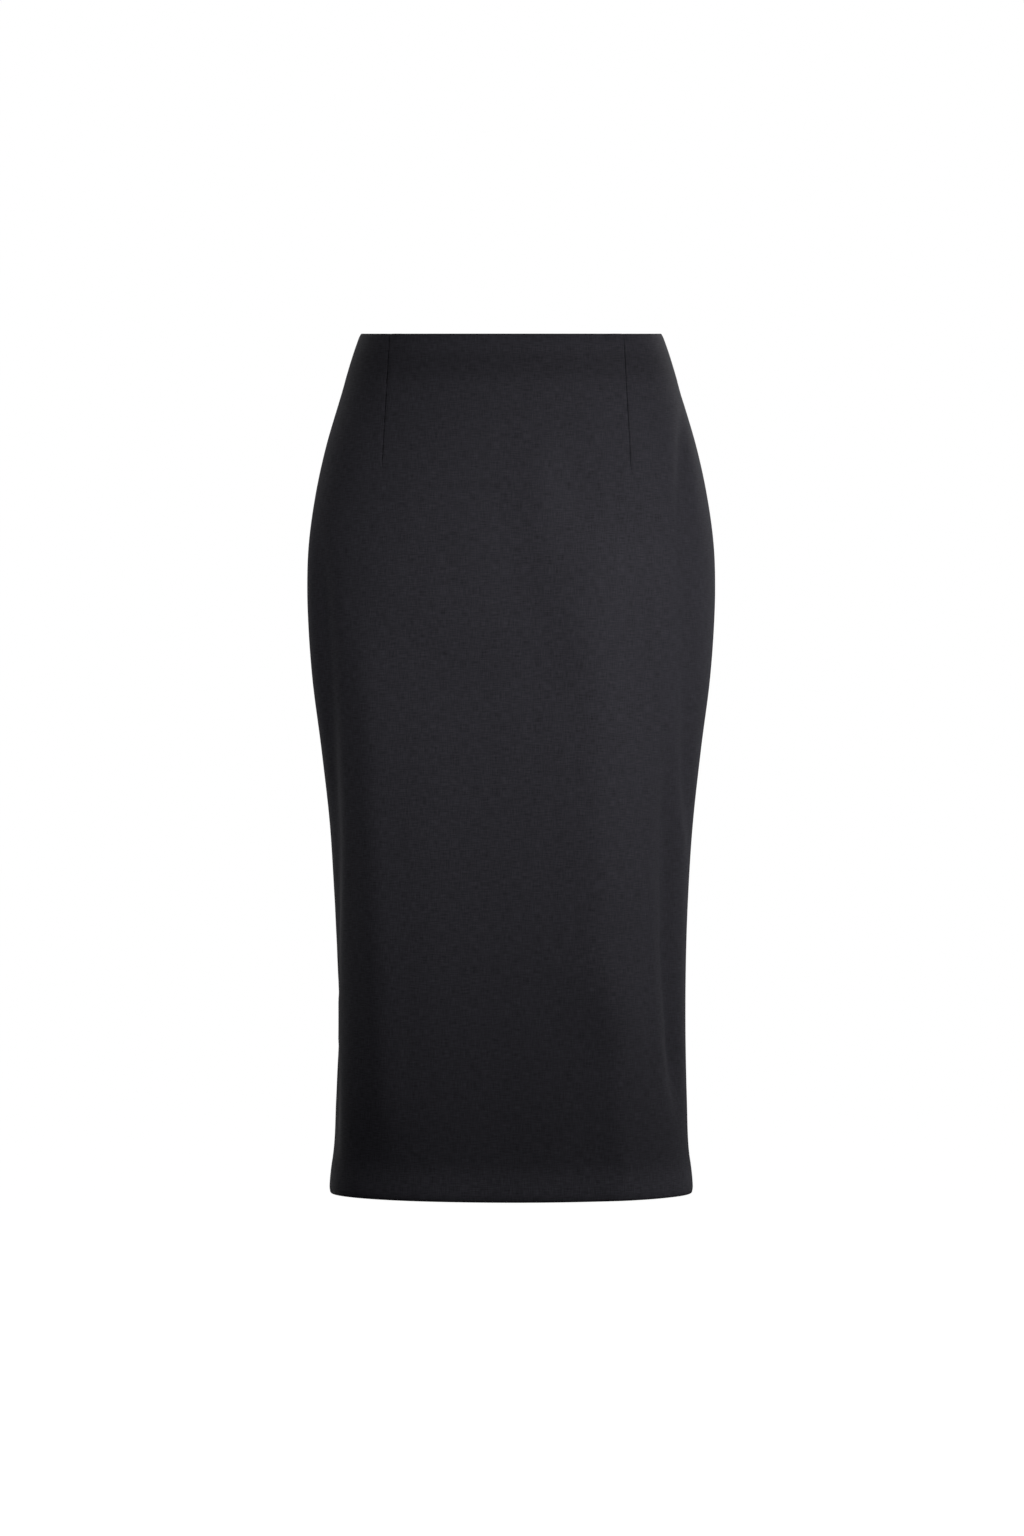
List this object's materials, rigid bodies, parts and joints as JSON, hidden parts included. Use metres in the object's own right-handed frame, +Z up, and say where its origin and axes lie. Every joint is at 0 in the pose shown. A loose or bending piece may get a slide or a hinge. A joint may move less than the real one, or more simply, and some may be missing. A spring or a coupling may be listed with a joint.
{
  "type": "pencil skirt",
  "caption": "Knee-length pencil skirt in dark suiting, hollow as worn, with waist darts, a centre back zip with a turning pull tab, and an overlapped back vent.",
  "frame": {"origin": "centre of the waist opening, level with the waist edge at the side seams", "axes": "+Z up towards the waist, -Y out of the skirt's front, +X towards the wearer's left"},
  "size_m": [0.3568, 0.2468, 0.7524],
  "materials": {
    "suiting": "plain-weave wool suiting, near-black, with a soft low sheen",
    "zip_tape": "woven polyester zip tape, black, matt",
    "zip_metal": "zinc casting with black enamel, semi-gloss"
  },
  "bodies": {
    "skirt": {"front": "suiting", "back_left": "suiting", "back_right": "suiting", "zip_tape_left": "zip_tape", "zip_tape_right": "zip_tape", "zip_slider": "zip_metal"},
    "pull": {"zip_pull": "zip_metal"}
  },
  "joints": [
    {"name": "pull_swing", "type": "hinge", "parent": "skirt", "child": "pull", "pos_m": [0, 0.09588, -0.01563], "axis": [1, 0, 0], "range_deg": [0, 165]}
  ]
}
